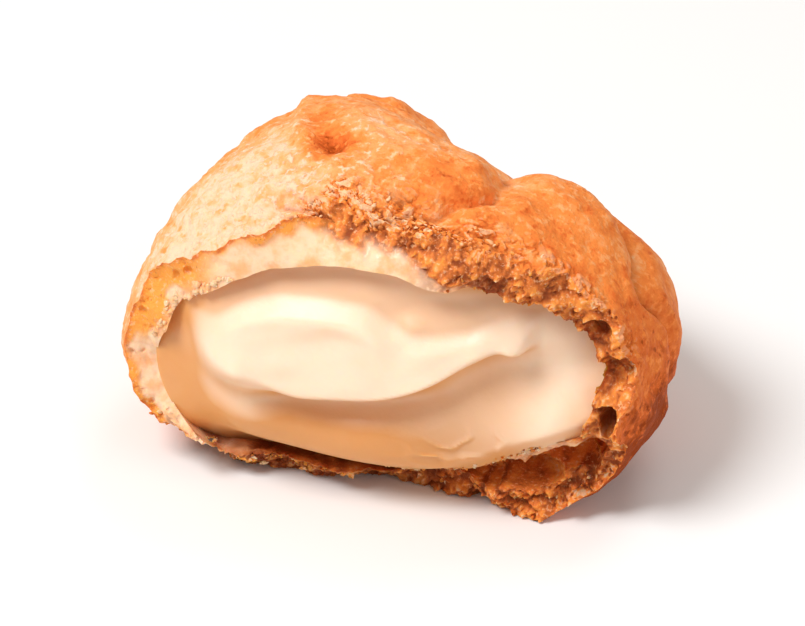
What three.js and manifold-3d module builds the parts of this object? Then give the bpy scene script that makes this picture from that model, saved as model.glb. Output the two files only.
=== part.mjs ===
// A cream puff torn open at the front: a hollow choux shell, and the cream that fills it.
//
// Frame: millimetres, +Z up. The origin is on the table, under the middle of the whole puff.
// The torn face looks along -Y. Directions on the shell are given from the middle of its widest
// level as [azimuth, elevation] in degrees: azimuth 0 is +X, 90 is +Y, and elevation 90 is straight up.

import * as THREE from "three";
import { mergeVertices } from "three/addons/utils/BufferGeometryUtils.js";
import Module from "manifold-3d";

// ---- Driving dimensions ------------------------------------------------------------------

const PUFF_WIDTH = 59.3; // across the widest level, side to side
const PUFF_DEPTH = 59; // front to back, before it was torn
const PUFF_HEIGHT = 36.1; // table to the top of the dome, before its swellings
const WAIST_HEIGHT = 13.3; // the widest level above the table
const UNDERSIDE = 19.2; // how far the round underside would reach below the waist, were it not baked flat
const WALL = 3.4; // thickness of the shell above and beside the cream
const WALL_BASE = 2.6; // thickness of the base in its middle
const BASE_SWELL = 9.5; // how much thicker the base is at the front right
const GAP = 0.3; // between the cream and the shell
const FLOOR_GAP = 0.5; // the same gap measured upright, where the floor slopes

const TORN_LIP_Y = -14.6; // where the upper edge was torn, at the middle
const TORN_LIP_TURN = 7.2; // how far back the tear runs at the right
const TORN_LEFT_Y = -11.2; // where the left wall was torn
const TORN_BASE_Y = -9; // where the base was torn
const SKIN_SET_BACK = 2.8; // the brown skin broke this far behind the crumb under it
const CREAM_SET_BACK = 0.9; // the cream's face begins this far behind the tear
const CREAM_RIM = 1.3; // how far its rim turns back
const CREAM_FOOT_Y = -12; // the cream's face above the base
const FOOT_TUCK = 2.6; // how far its foot tucks back under its belly
const CREAM_RIGHT_FOOT = 1.2; // how much further back it stands over the pockets at the right

const SHELL_DETAIL = 18; // each edge of the icosahedron is divided into one more than this
const HOLLOW_DETAIL = 9;
const FINER_TOWARDS = new THREE.Vector3(0, 0.1, 0.22); // shifts the facets to where the relief is
const TEAR_STEP = 1.5; // facets of the torn faces
const CREAM_STEP = 1.25;

// Swellings and hollows of the crust: direction, rise in mm and spread in degrees.
const LOBES = [
  { at: [165, 73], rise: 1.8, spread: 36 }, // crown
  { at: [63, 38], rise: -9.1, spread: 27.5 }, // valley between the crown and the right lobe
  { at: [22, 44], rise: 2.7, spread: 13.5 }, // crest of the right lobe
  { at: [21, 16], rise: 0.8, spread: 23 }, // right lobe
  { at: [176, 19], rise: -0.7, spread: 25 }, // the crown's left shoulder falls away
  { at: [115, 25], rise: 2.8, spread: 26 }, // back left lobe
  { at: [56, 2], rise: 1.4, spread: 20 }, // back right lobe
  { at: [-58, -14], rise: 1.8, spread: 20 }, // front foot
];

// Cracks between the plates of crust: the directions that they run through, depth and half-width in mm.
const CRACKS = [
  {
    path: [[72, 20], [58, 44], [20, 58], [-20, 62], [-55, 60], [-90, 61], [-125, 54]],
    depth: 1.3,
    width: 2.1,
  },
  { path: [[58, 44], [88, 44], [128, 41], [165, 37]], depth: 1.7, width: 1.8 },
  { path: [[128, 41], [122, 22], [132, 2]], depth: 1.6, width: 1.8 },
  { path: [[165, 37], [186, 27], [178, 6]], depth: 1.1, width: 1.8 },
  { path: [[20, 31], [7, 23], [3, 15], [2, 5], [10, -8]], depth: 1.1, width: 1.5 },
  { path: [[104, 43], [92, 22], [76, -6]], depth: 1.4, width: 1.8 },
];
const CURLED_EDGE = 0.18; // how far the plates curl up beside a crack, as a share of its depth
const WANDER = 0.09; // how far the cracks wander from those paths, as a share of the radius

// The piping tail: a soft ridge on the crown, with a groove behind it that ends in a dent.
const TAIL_RIDGE = [[137, 44], [151, 55], [167, 62], [-178, 66], [-158, 68]];
const TAIL_HEIGHT = 0.7;
const TAIL_WIDTH = 1.4;
const TAIL_GROOVE = [[152, 61], [167, 69], [-176, 72]];
const TAIL_GROOVE_DEPTH = 0.6;
const TAIL_GROOVE_WIDTH = 2.4;
const TAIL_DENT = [-170, 72];
const TAIL_DENT_DEPTH = 1.2;
const TAIL_DENT_WIDTH = 2.9;

// Bubbles that the tear opened in the wall: centre and radii in mm.
const BUBBLES = [
  { at: [24.0, -8.4, 22.6], size: [1.7, 2.6, 1.4] },
  { at: [26.4, -8.2, 18.4], size: [1.5, 2.6, 1.8] },
  { at: [26.3, -10.2, 13.4], size: [1.2, 2.2, 1.8] },
  { at: [11.0, -9.8, 3.9], size: [3.6, 5.0, 1.0] },
  { at: [16.4, -10.6, 5.4], size: [4.6, 7.0, 1.8] },
  { at: [21.4, -9.8, 7.5], size: [3.7, 6.0, 1.9] },
  { at: [24.3, -8.8, 9.3], size: [1.8, 4.0, 1.4] },
];

// Where the base was torn further back, or less far: place in X, width and depth in mm.
const BASE_BITES = [
  { x: 3, width: 5, depth: 2.5 },
  { x: 17, width: 5, depth: -2.0 },
];
const LEFT_BASE_BITE = 3.0;
const BASE_RISE = 9.0; // how much higher the torn base reaches at the right
const ROUGHNESS = [
  { height: 0.9, length: 4.2 },
  { height: 0.4, length: 2.4 },
]; // of the torn faces
const UNEVENNESS = [
  { height: 0.4, length: 9 },
  { height: 0.22, length: 3.4 },
]; // of the crust

// The cream's soft swellings and hollows, in X and Z: middle, half-widths and rise.
const CREAM_SWELLS = [
  { at: [0, 8], size: [9, 4.5], rise: 2.4 }, // its belly over the torn base
  { at: [-12.5, 9], size: [4, 3], rise: 1.2 },
  { at: [15.5, 15.5], size: [6.5, 5], rise: -0.3 },
  { at: [-15, 18], size: [3.5, 5], rise: 0.8 },
  { at: [7, 25.6], size: [4.5, 1.8], rise: -1.3 },
];

// Its tongue, drawn to the right as the puff was pulled apart: the tongue's edges in X and Z. It leans
// back from its lower edge, and a fold runs along the left half of its upper edge.
const TONGUE_LOWER = [
  [-20, 18.5], [-18, 15.6], [-14.5, 13.7], [-8, 13.6], [-3, 14.2], [3, 15.2], [8.6, 17.6], [12.1, 19.8],
  [15, 20.9], [18, 20.4],
];
const TONGUE_UPPER = [
  [-17, 21], [-12.5, 23.2], [-8, 24.7], [0.5, 24.9], [3.6, 23.2], [7, 22.4], [11.2, 22.9], [14.2, 23.9],
  [18, 23.6],
];
const TONGUE_RISE = 3.2;
const TONGUE_TOP_SHARE = 0.42; // of that rise is left at its upper edge
const TONGUE_TIP_SHARE = 0.6; // and towards its tip
const TONGUE_TIP = 17.4;
const FOLD_RISE = 0.7;
const FOLD_WIDTH = 0.7; // above its crest
const FOLD_SLOPE = 2.4; // its width below the crest
const HOLLOW_UNDER_TONGUE = 1.3;

// Small soft forms on the tongue, in X and Z: middle, half-widths and rise.
const TONGUE_FORMS = [
  { at: [-13, 17], size: [1.6, 1.6], rise: 0.35 },
  { at: [5.6, 23.6], size: [1.4, 1], rise: 0.7 },
  { at: [16, 21.6], size: [1.1, 1.2], rise: 0.8 },
];

// ---- Shape functions -----------------------------------------------------------------------

const MEAN_RADIUS = (PUFF_WIDTH + PUFF_DEPTH) / 4;
const CENTRE = new THREE.Vector3(0, 0, WAIST_HEIGHT);

const mix = THREE.MathUtils.lerp;
const bell = (x) => Math.exp(-x * x);

// Rises smoothly from 0 at from to 1 at to, whichever of the two is larger.
function ramp(from, to, x) {
  const t = THREE.MathUtils.clamp((x - from) / (to - from), 0, 1);
  return t * t * (3 - 2 * t);
}

function direction([azimuth, elevation]) {
  const a = THREE.MathUtils.degToRad(azimuth);
  const e = THREE.MathUtils.degToRad(elevation);
  return new THREE.Vector3(Math.cos(a) * Math.cos(e), Math.sin(a) * Math.cos(e), Math.sin(e));
}

// Distance in mm along the shell from direction d to a line of directions.
function distanceTo(line, d) {
  let nearest = Infinity;
  for (let i = 1; i < line.length; i += 1) {
    const stretch = new THREE.Line3(line[i - 1], line[i]);
    const point = stretch.closestPointToPoint(d, true, new THREE.Vector3());
    nearest = Math.min(nearest, point.distanceTo(d));
  }
  return nearest * MEAN_RADIUS;
}

const lobes = LOBES.map((lobe) => ({ ...lobe, d: direction(lobe.at) }));
const cracks = CRACKS.map((crack) => ({ ...crack, line: crack.path.map(direction) }));
const tailRidge = TAIL_RIDGE.map(direction);
const tailGroove = TAIL_GROOVE.map(direction);
const tailDent = direction(TAIL_DENT);

// An egg whose upper and lower halves differ, with its lobes but without its cracks.
function bodyRadius(d) {
  const upright = d.z > 0 ? PUFF_HEIGHT - WAIST_HEIGHT : UNDERSIDE;
  let r = 1 / Math.hypot(d.x / (PUFF_WIDTH / 2), d.y / (PUFF_DEPTH / 2), d.z / upright);
  for (const lobe of lobes) r += lobe.rise * bell(THREE.MathUtils.radToDeg(d.angleTo(lobe.d)) / lobe.spread);
  return r;
}

// Smooth irregular waves between -1 and 1 at a point, about twice the given length from crest to crest.
function waves(x, y, z, length) {
  const [u, v, w] = [x, y, z].map((place) => (place * 2.9) / length);
  const along = Math.sin(u + 2.0 * Math.sin(0.7 * v + 0.4 * w));
  const across = Math.sin(v + 1.8 * Math.sin(0.8 * w + 0.5 * u) + 1.3);
  const upright = Math.sin(w + 1.9 * Math.sin(0.6 * u + 0.9 * v) + 4.1);
  return (along + across + upright) / 3;
}

// Waves of several lengths together, at a point.
function relief(layers, x, y, z) {
  return layers.reduce((sum, layer) => sum + layer.height * waves(x, y, z, layer.length), 0);
}

// Grooves between the plates of crust. The plates curl up slightly beside them.
function crackDepth(d) {
  const aside = new THREE.Vector3(waves(d.x, d.y, d.z, 0.24), waves(d.y, d.z, d.x, 0.27), 0);
  const wandered = aside.multiplyScalar(WANDER).add(d).normalize();
  let groove = 0;
  let edge = 0;
  for (const crack of cracks) {
    const t = distanceTo(crack.line, wandered) / crack.width;
    groove = Math.max(groove, crack.depth * bell(t));
    edge = Math.max(edge, CURLED_EDGE * crack.depth * bell((t - 2) / 0.8));
  }
  return groove - edge * Math.exp(-2 * groove);
}

function tailRise(d) {
  const ridge = TAIL_HEIGHT * bell(distanceTo(tailRidge, d) / TAIL_WIDTH);
  const groove = TAIL_GROOVE_DEPTH * bell(distanceTo(tailGroove, d) / TAIL_GROOVE_WIDTH);
  const dent = TAIL_DENT_DEPTH * bell((tailDent.distanceTo(d) * MEAN_RADIUS) / TAIL_DENT_WIDTH);
  return ridge - groove - dent;
}

function outerRadius(d) {
  const { x, y, z } = d.clone().multiplyScalar(MEAN_RADIUS);
  return bodyRadius(d) - crackDepth(d) + tailRise(d) + relief(UNEVENNESS, x, y, z);
}

// The hollow follows the body at the wall's thickness.
const hollowRadius = (d) => bodyRadius(d) - WALL;

// The hollow's floor: thin in the middle, and swollen at the front right.
function floorHeight(x, y) {
  return WALL_BASE + BASE_SWELL * ramp(2, 28, x) * ramp(11, -11, y);
}

// y of the torn edge without its roughness, above the base. It runs back at the upper right.
function lipY(x, z) {
  return mix(TORN_LIP_Y, TORN_LEFT_Y, ramp(-15, -25, x)) + TORN_LIP_TURN * ramp(6, 25, x) * ramp(10, 19, z);
}

// y of the tear across the shell, at a place in X and Z.
function tearY(x, z) {
  let base = TORN_BASE_Y + LEFT_BASE_BITE * ramp(-14, -21, x);
  for (const bite of BASE_BITES) base += bite.depth * bell((x - bite.x) / bite.width);
  const skin = SKIN_SET_BACK * ramp(PUFF_HEIGHT - 7, PUFF_HEIGHT - 2, z) * ramp(-14, -3, x);
  const aboveBase = z - BASE_RISE * ramp(2, 12, x);
  return mix(base, lipY(x, z), ramp(0, 6, aboveBase)) + skin + relief(ROUGHNESS, x, MEAN_RADIUS, z);
}

// Height at x of a smooth line through places in X and Z.
function lineHeight(line, x) {
  const last = line.length - 1;
  const slope = line.map((place, i) => {
    if (i === 0 || i === last) return 0;
    return (line[i + 1][1] - line[i - 1][1]) / (line[i + 1][0] - line[i - 1][0]);
  });
  const next = line.findIndex(([across]) => across >= x);
  const i = THREE.MathUtils.clamp((next < 0 ? last : next) - 1, 0, last - 1);
  const run = line[i + 1][0] - line[i][0];
  const t = THREE.MathUtils.clamp((x - line[i][0]) / run, 0, 1);
  const bend = t * (1 - t) * run * (slope[i] * (1 - t) - slope[i + 1] * t);
  return mix(line[i][1], line[i + 1][1], t * t * (3 - 2 * t)) + bend;
}

// The sum of soft swellings at a place in X and Z.
function swellings(forms, x, z) {
  return forms.reduce(
    (sum, { at, size, rise }) => sum + rise * bell((x - at[0]) / size[0]) * bell((z - at[1]) / size[1]),
    0,
  );
}

// How far the tongue stands out of the cream's face, with the fold on it and the hollow under it.
function tongueRise(x, z) {
  const lower = lineHeight(TONGUE_LOWER, x);
  const upper = lineHeight(TONGUE_UPPER, x);
  const thin = ramp(2, TONGUE_TIP, x);
  const topShare = mix(TONGUE_TOP_SHARE, TONGUE_TIP_SHARE, thin);
  const lean = mix(1, topShare, ramp(0.1, 1.1, (z - lower) / (upper - lower)));
  const soft = 2.6 * ramp(-5, -14, x);
  const foot = ramp(-0.6 - soft, 1.6 - 0.5 * thin + soft, z - lower);
  const crest = ramp(0.7, -1.2 + 0.2 * thin, z - upper);
  const body = TONGUE_RISE * (1 - 0.5 * thin) * foot * crest * lean;
  const along = ramp(-15, -9, x) * ramp(5, 2, x) + 0.8 * ramp(9, 13, x);
  const aboveCrest = z - upper + 0.9;
  const fold = FOLD_RISE * bell(aboveCrest / (aboveCrest > 0 ? FOLD_WIDTH : FOLD_SLOPE)) * along;
  const ends = ramp(-21.5, -12, x) * ramp(TONGUE_TIP + 0.8, TONGUE_TIP - 0.8, x);
  const depth = HOLLOW_UNDER_TONGUE * ramp(-15, -6, x) * (1 - 0.75 * thin);
  const hollow = depth * bell((z - lower + 2.2) / (1.7 + thin));
  const raised = (body + fold + swellings(TONGUE_FORMS, x, z)) * ends;
  return raised - hollow * ramp(TONGUE_TIP + 3, TONGUE_TIP - 5, x);
}

// y of the cream's face. Its rim turns back to the wall, and its foot to the base.
function creamY(x, z) {
  const plane = mix(CREAM_FOOT_Y, lipY(x, z) + CREAM_SET_BACK, ramp(3, 20, z));
  const rim = CREAM_RIM * ramp(0.8, 1.05, Math.hypot(x / 25, (z - 15) / 13)) * ramp(-21, -12, x);
  const tuck = FOOT_TUCK * ramp(6.5, 2.5, z) * ramp(14, 6, x);
  const back = CREAM_RIGHT_FOOT * ramp(4, 9, x) * ramp(2.4, 0, z - floorHeight(x, TORN_BASE_Y));
  return plane - swellings(CREAM_SWELLS, x, z) - tongueRise(x, z) + rim + tuck + back;
}

// ---- Solids --------------------------------------------------------------------------------

const wasm = await Module();
wasm.setup();

function solidOf(geometry) {
  geometry.deleteAttribute("normal");
  geometry.deleteAttribute("uv");
  const merged = mergeVertices(geometry, 1e-4);
  return new wasm.Manifold(
    new wasm.Mesh({
      numProp: 3,
      vertProperties: merged.attributes.position.array,
      triVerts: new Uint32Array(merged.index.array),
    }),
  );
}

// Moves each vertex of a geometry with place(vertex).
function shaped(geometry, place) {
  const position = geometry.getAttribute("position");
  const vertex = new THREE.Vector3();
  for (let i = 0; i < position.count; i += 1) {
    place(vertex.fromBufferAttribute(position, i));
    position.setXYZ(i, vertex.x, vertex.y, vertex.z);
  }
  return geometry;
}

// A ball round the puff's centre, with the radius that radiusOf gives in each direction and a floor below.
function ball(detail, radiusOf, floorOf) {
  return shaped(new THREE.IcosahedronGeometry(1, detail), (v) => {
    v.normalize().add(FINER_TOWARDS).normalize();
    v.multiplyScalar(radiusOf(v)).add(CENTRE);
    v.z = Math.max(v.z, floorOf(v.x, v.y));
  });
}

// Everything in front of a surface y = surfaceOf(x, z), as a block.
function inFrontOf(surfaceOf, step) {
  const margin = 6;
  const wide = PUFF_WIDTH + 2 * margin;
  const high = PUFF_HEIGHT + 3 * margin;
  const thick = PUFF_DEPTH;
  const block = new THREE.BoxGeometry(wide, thick, high, Math.round(wide / step), 1, Math.round(high / step));
  return shaped(block, (v) => {
    v.z += high / 2 - margin;
    v.y = v.y > 0 ? surfaceOf(v.x, v.z) : -thick;
  });
}

function bubble({ at, size }) {
  return new THREE.IcosahedronGeometry(1, 2).scale(...size).translate(...at);
}

function meshOf(solid, name, material) {
  const { numProp, vertProperties, triVerts } = solid.getMesh();
  const geometry = new THREE.BufferGeometry();
  const vertices = new THREE.InterleavedBuffer(vertProperties, numProp);
  geometry.setAttribute("position", new THREE.InterleavedBufferAttribute(vertices, 3, 0));
  geometry.setIndex(new THREE.BufferAttribute(triVerts, 1));
  const mesh = new THREE.Mesh(geometry, material);
  mesh.name = name;
  return mesh;
}

// Keeps the largest body of a solid that cutting left with loose scraps.
function largestOf(solid) {
  return solid.decompose().reduce((a, b) => (b.volume() > a.volume() ? b : a));
}

// ---- The two pieces --------------------------------------------------------------------------

function chouxShell() {
  const outside = solidOf(ball(SHELL_DETAIL, outerRadius, () => 0));
  const hollow = solidOf(ball(HOLLOW_DETAIL, hollowRadius, floorHeight));
  let shell = outside.subtract(hollow).subtract(solidOf(inFrontOf(tearY, TEAR_STEP)));
  for (const hole of BUBBLES) shell = shell.subtract(solidOf(bubble(hole)));
  const crust = new THREE.MeshStandardMaterial({ color: 0xe0924a, roughness: 0.7, metalness: 0 });
  return meshOf(largestOf(shell), "choux_shell", crust);
}

function creamFilling() {
  const radiusOf = (d) => hollowRadius(d) - GAP;
  const floorOf = (x, y) => floorHeight(x, y) + FLOOR_GAP;
  const whole = solidOf(ball(HOLLOW_DETAIL, radiusOf, floorOf));
  const filling = whole.subtract(solidOf(inFrontOf(creamY, CREAM_STEP)));
  const custard = new THREE.MeshStandardMaterial({ color: 0xf8e2bd, roughness: 0.35, metalness: 0 });
  return meshOf(largestOf(filling), "cream_filling", custard);
}

const puff = new THREE.Group();
puff.name = "cream_puff";
puff.add(chouxShell());
puff.add(creamFilling());

export default puff;
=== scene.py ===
"""A cream puff torn open at the front: the baked choux shell, and the custard cream that fills it.

The shape functions work in millimetres, in the frame of the part: +Z up, the origin on the table
under the middle of the whole puff, and the torn side looking along -Y. Directions on the shell are
given from the middle of its widest level as (azimuth, elevation) in degrees.
"""

import math

import bmesh
import bpy
import numpy as np
from mathutils import Euler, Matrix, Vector, noise


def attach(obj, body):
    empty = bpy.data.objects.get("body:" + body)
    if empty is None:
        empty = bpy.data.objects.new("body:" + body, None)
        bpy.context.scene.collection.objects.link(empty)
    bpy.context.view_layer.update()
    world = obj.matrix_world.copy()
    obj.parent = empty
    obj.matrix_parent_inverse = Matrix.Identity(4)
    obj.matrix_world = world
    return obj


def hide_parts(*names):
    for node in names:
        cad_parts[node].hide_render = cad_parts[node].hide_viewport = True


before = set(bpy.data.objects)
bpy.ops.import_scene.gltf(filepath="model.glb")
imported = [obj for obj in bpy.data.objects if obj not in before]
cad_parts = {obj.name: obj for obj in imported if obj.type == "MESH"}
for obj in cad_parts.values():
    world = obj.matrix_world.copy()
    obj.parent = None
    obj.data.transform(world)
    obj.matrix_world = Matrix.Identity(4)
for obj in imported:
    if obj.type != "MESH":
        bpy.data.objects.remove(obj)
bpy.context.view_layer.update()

MM = 0.001

# ---- Driving dimensions, as in the solids ----------------------------------

PUFF_WIDTH = 59.3
PUFF_DEPTH = 59.0
PUFF_HEIGHT = 36.1
WAIST_HEIGHT = 13.3
UNDERSIDE = 19.2
WALL = 3.4
WALL_BASE = 2.6
BASE_SWELL = 9.5

TORN_LIP_Y = -14.6
TORN_LIP_TURN = 7.2
TORN_LEFT_Y = -11.2
TORN_BASE_Y = -9.0
SKIN_SET_BACK = 2.8
CREAM_SET_BACK = 0.9
CREAM_RIM = 1.3
CREAM_FOOT_Y = -12.0

FINER_TOWARDS = np.array((0.0, 0.1, 0.22))

# Swellings and hollows of the crust: direction, rise and spread in degrees.
LOBES = [
    ((165, 73), 1.8, 36.0),
    ((63, 38), -9.1, 27.5),
    ((22, 44), 2.7, 13.5),
    ((21, 16), 0.8, 23.0),
    ((176, 19), -0.7, 25.0),
    ((115, 25), 2.8, 26.0),
    ((56, 2), 1.4, 20.0),
    ((-58, -14), 1.8, 20.0),
]

# Cracks between the plates of crust: the directions that they run through, depth and half-width.
CRACKS = [
    ([(72, 20), (58, 44), (20, 58), (-20, 62), (-55, 60), (-90, 61), (-125, 54)], 1.3, 2.1),
    ([(58, 44), (88, 44), (128, 41), (165, 37)], 1.7, 1.8),
    ([(128, 41), (122, 22), (132, 2)], 1.6, 1.8),
    ([(165, 37), (186, 27), (178, 6)], 1.1, 1.8),
    ([(20, 31), (7, 23), (3, 15), (2, 5), (10, -8)], 1.1, 1.5),
    ([(104, 43), (92, 22), (76, -6)], 1.4, 1.8),
]
CURLED_EDGE = 0.18
WANDER = 0.09

# The piping tail: a soft ridge on the crown, with a groove behind it that ends in a dent.
TAIL_RIDGE = [(137, 44), (151, 55), (167, 62), (-178, 66), (-158, 68)]
TAIL_HEIGHT = 0.7
TAIL_WIDTH = 1.4
TAIL_GROOVE = [(152, 61), (167, 69), (-176, 72)]
TAIL_GROOVE_DEPTH = 0.6
TAIL_GROOVE_WIDTH = 2.4
TAIL_DENT = (-170, 72)
TAIL_DENT_DEPTH = 1.2
TAIL_DENT_WIDTH = 2.9

# Where the base was torn further back, or less far: place in X, width and depth.
BASE_BITES = [(3.0, 5.0, 2.5), (17.0, 5.0, -2.0)]
LEFT_BASE_BITE = 3.0
BASE_RISE = 9.0  # how much higher the torn base reaches at the right

# Height and length of the waves in the torn faces and in the crust.
ROUGHNESS = [(0.9, 4.2), (0.4, 2.4)]
UNEVENNESS = [(0.4, 9.0), (0.22, 3.4)]

# The cream's soft swellings and hollows: middle in X and Z, half-widths, and rise.
CREAM_SWELLS = [
    ((0.0, 8.0), (9.0, 4.5), 2.4),
    ((-12.5, 9.0), (4.0, 3.0), 1.2),
    ((15.5, 15.5), (6.5, 5.0), -0.3),
    ((-15.0, 18.0), (3.5, 5.0), 0.8),
    ((7.0, 25.6), (4.5, 1.8), -1.3),
]
FOOT_TUCK = 2.6  # how far the cream's foot tucks back under its belly
CREAM_RIGHT_FOOT = 1.2  # and how much further back it stands over the pockets at the right

# Its tongue, drawn to the right as the puff was pulled apart: the tongue's edges in X and Z. It leans
# back from its lower edge, and a fold runs along the left half of its upper edge.
TONGUE_LOWER = [(-20.0, 18.5), (-18.0, 15.6), (-14.5, 13.7), (-8.0, 13.6), (-3.0, 14.2), (3.0, 15.2),
                (8.6, 17.6), (12.1, 19.8), (15.0, 20.9), (18.0, 20.4)]
TONGUE_UPPER = [(-17.0, 21.0), (-12.5, 23.2), (-8.0, 24.7), (0.5, 24.9), (3.6, 23.2), (7.0, 22.4),
                (11.2, 22.9), (14.2, 23.9), (18.0, 23.6)]
TONGUE_RISE = 3.2
TONGUE_TOP_SHARE = 0.42  # of that rise is left at its upper edge
TONGUE_TIP_SHARE = 0.6  # and towards its tip
TONGUE_TIP = 17.4
FOLD_RISE = 0.7
FOLD_WIDTH = 0.7  # above its crest
FOLD_SLOPE = 2.4  # its width below the crest
HOLLOW_UNDER_TONGUE = 1.3

# Small soft forms on the tongue: middle in X and Z, half-widths, and rise.
TONGUE_FORMS = [
    ((-13.0, 17.0), (1.6, 1.6), 0.35),
    ((5.6, 23.6), (1.4, 1.0), 0.7),
    ((16.0, 21.6), (1.1, 1.2), 0.8),
]

# ---- Sizes of the finer forms ----------------------------------------------

SEED = 4
SKIN_SUBDIVISIONS = 7
HOLLOW_SUBDIVISIONS = 6
CREAM_SUBDIVISIONS = 6
TORN_CELL = 0.24
CREAM_CELL = 0.3
CREAM_REACH = 0.15  # how far the cream reaches into the shell, so that no gap shows

NOTCH_DEPTH = 0.4  # of the sharp bottom of a crack, as a share of the crack's depth
RIPPLE_RELIEF = 0.24
DIMPLE_DEPTH = 0.22
LUMP_RELIEF = 0.16
CRUMB_RELIEF = 0.6
CRAG_RELIEF = 0.5
CRUMBLED_REACH = 3.4  # how far behind the torn lip the crust is broken up
CRUMBLED_MIDDLE = 7.0  # and how much further at the middle
WRINKLE_RELIEF = 0.4
STREAK_RELIEF = 0.22
TONGUE_SAG = 0.32  # how far the tongue hangs, as a share of how far it stands out

# How much darker, or paler, the crust is in places: direction, spread in degrees, and amount. Partly baking,
# and partly painted light and shade: paler on the left shoulder where the light falls, darker low at the
# front right where the shade falls.
BAKED_AND_SHADED_PLACES = [
    ((-145, 45), 32.0, -0.26),
    ((-6, -12), 20.0, 0.53),
    ((-27, 74), 14.0, 0.14),
    ((-150, 12), 18.0, -0.09),
    ((14, 48), 13.0, -0.07),
]

# Small bubbles that the tear opened in the wall: how many, their least and largest radius, and how
# strongly they keep to where the wall is porous.
PITS = [(170, 0.7, 1.3, 3.0), (420, 0.3, 0.7, 1.5), (700, 0.14, 0.3, 0.5)]
TORN_FACE_HALF_WIDTH = 28.5
TORN_FACE_HALF_HEIGHT = 18.0

# Loose pieces: how many, and the ranges of their half-length, half-width and half-thickness.
CRUST_FLAKES = 110
CRUST_FLAKE_SIZE = ((0.15, 0.4), (0.12, 0.26), (0.08, 0.15))
WALL_CRUMBS = 90
WALL_CRUMB_SIZE = ((0.12, 0.4), (0.1, 0.25), (0.07, 0.2))
BASE_FLAKES = 34
BASE_FLAKE_SIZE = ((0.25, 0.7), (0.15, 0.3), (0.06, 0.12))
EDGE_CRUMBS = 60
EDGE_CRUMB_SIZE = ((0.12, 0.38), (0.1, 0.25), (0.07, 0.18))
FROTH = 46

# Bubbles that the tear opened in the wall, and the pockets under the cream: centre and radii.
BUBBLES = [
    ((24.0, -8.4, 22.6), (1.7, 2.6, 1.4)),
    ((26.4, -8.2, 18.4), (1.5, 2.6, 1.8)),
    ((26.3, -10.2, 13.4), (1.2, 2.2, 1.8)),
    ((11.0, -9.8, 3.9), (3.6, 5.0, 1.0)),
    ((16.4, -10.6, 5.4), (4.6, 7.0, 1.8)),
    ((21.4, -9.8, 7.5), (3.7, 6.0, 1.9)),
    ((24.3, -8.8, 9.3), (1.8, 4.0, 1.4)),
]

MEAN_RADIUS = (PUFF_WIDTH + PUFF_DEPTH) / 4
CENTRE = np.array((0.0, 0.0, WAIST_HEIGHT))


# ---- Shape functions -------------------------------------------------------


def unit(v):
    return v / np.linalg.norm(v, axis=-1, keepdims=True)


def mix(a, b, share):
    return a + (b - a) * share


def ramp(start, end, x):
    """Rises smoothly from 0 at start to 1 at end, whichever of the two is larger."""
    t = np.clip((x - start) / (end - start), 0.0, 1.0)
    return t * t * (3.0 - 2.0 * t)


def bell(x):
    return np.exp(-x * x)


def direction(azimuth, elevation):
    a = math.radians(azimuth)
    e = math.radians(elevation)
    return np.array((math.cos(a) * math.cos(e), math.sin(a) * math.cos(e), math.sin(e)))


def directions(path):
    return [direction(*place) for place in path]


def line_distance(d, line):
    """Distance in mm along the shell from directions d to a line of directions."""
    nearest = np.full(len(d), np.inf)
    for start, end in zip(line[:-1], line[1:]):
        run = end - start
        along = np.clip((d - start) @ run / (run @ run), 0.0, 1.0)
        nearest = np.minimum(nearest, np.linalg.norm(d - start - along[:, None] * run, axis=1))
    return nearest * MEAN_RADIUS


def angle_between(d, other):
    return np.degrees(np.arccos(np.clip(d @ other, -1.0, 1.0)))


def waves(p, length):
    """Smooth irregular waves between -1 and 1, about twice the given length from crest to crest."""
    u, v, w = (p * 2.9 / length).T
    along = np.sin(u + 2.0 * np.sin(0.7 * v + 0.4 * w))
    across = np.sin(v + 1.8 * np.sin(0.8 * w + 0.5 * u) + 1.3)
    upright = np.sin(w + 1.9 * np.sin(0.6 * u + 0.9 * v) + 4.1)
    return (along + across + upright) / 3


def relief(layers, p):
    return sum(height * waves(p, length) for height, length in layers)


def grain(p, length, octaves=1):
    """Fine irregular relief between about -1 and 1, from noise with the given length."""
    return np.array([noise.fractal(q, 1.0, 2.0, octaves) for q in (p / length).tolist()])


def on_plane(x, y, z):
    """Places in X and Z on the upright plane at y."""
    return np.stack((x, np.full(len(x), y), z), axis=1)


def body_radius(d):
    """An egg whose upper and lower halves differ, with its lobes but without its cracks."""
    upright = np.where(d[:, 2] > 0, PUFF_HEIGHT - WAIST_HEIGHT, UNDERSIDE)
    scaled = d / np.stack((np.full(len(d), PUFF_WIDTH / 2), np.full(len(d), PUFF_DEPTH / 2), upright), axis=1)
    radius = 1.0 / np.linalg.norm(scaled, axis=1)
    for place, rise, spread in LOBES:
        radius = radius + rise * bell(angle_between(d, direction(*place)) / spread)
    return radius


def wandered(d):
    """Directions moved aside a little, so that a line measured from them wanders."""
    aside = np.stack((waves(d, 0.24), waves(d[:, [1, 2, 0]], 0.27), np.zeros(len(d))), axis=1)
    return unit(d + WANDER * aside)


def crack_distance(d):
    """Distance in half-widths to the nearest crack, and the depth of that crack."""
    moved = wandered(d)
    nearest = np.full(len(d), np.inf)
    deep = np.zeros(len(d))
    for path, depth, width in CRACKS:
        t = line_distance(moved, directions(path)) / width
        deep = np.where(t < nearest, depth, deep)
        nearest = np.minimum(nearest, t)
    return nearest, deep


def crack_depth(d):
    """Grooves between the plates of crust. The plates curl up slightly beside them."""
    moved = wandered(d)
    groove = np.zeros(len(d))
    edge = np.zeros(len(d))
    for path, depth, width in CRACKS:
        t = line_distance(moved, directions(path)) / width
        groove = np.maximum(groove, depth * bell(t))
        edge = np.maximum(edge, CURLED_EDGE * depth * bell((t - 2.0) / 0.8))
    return groove - edge * np.exp(-2.0 * groove)


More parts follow.
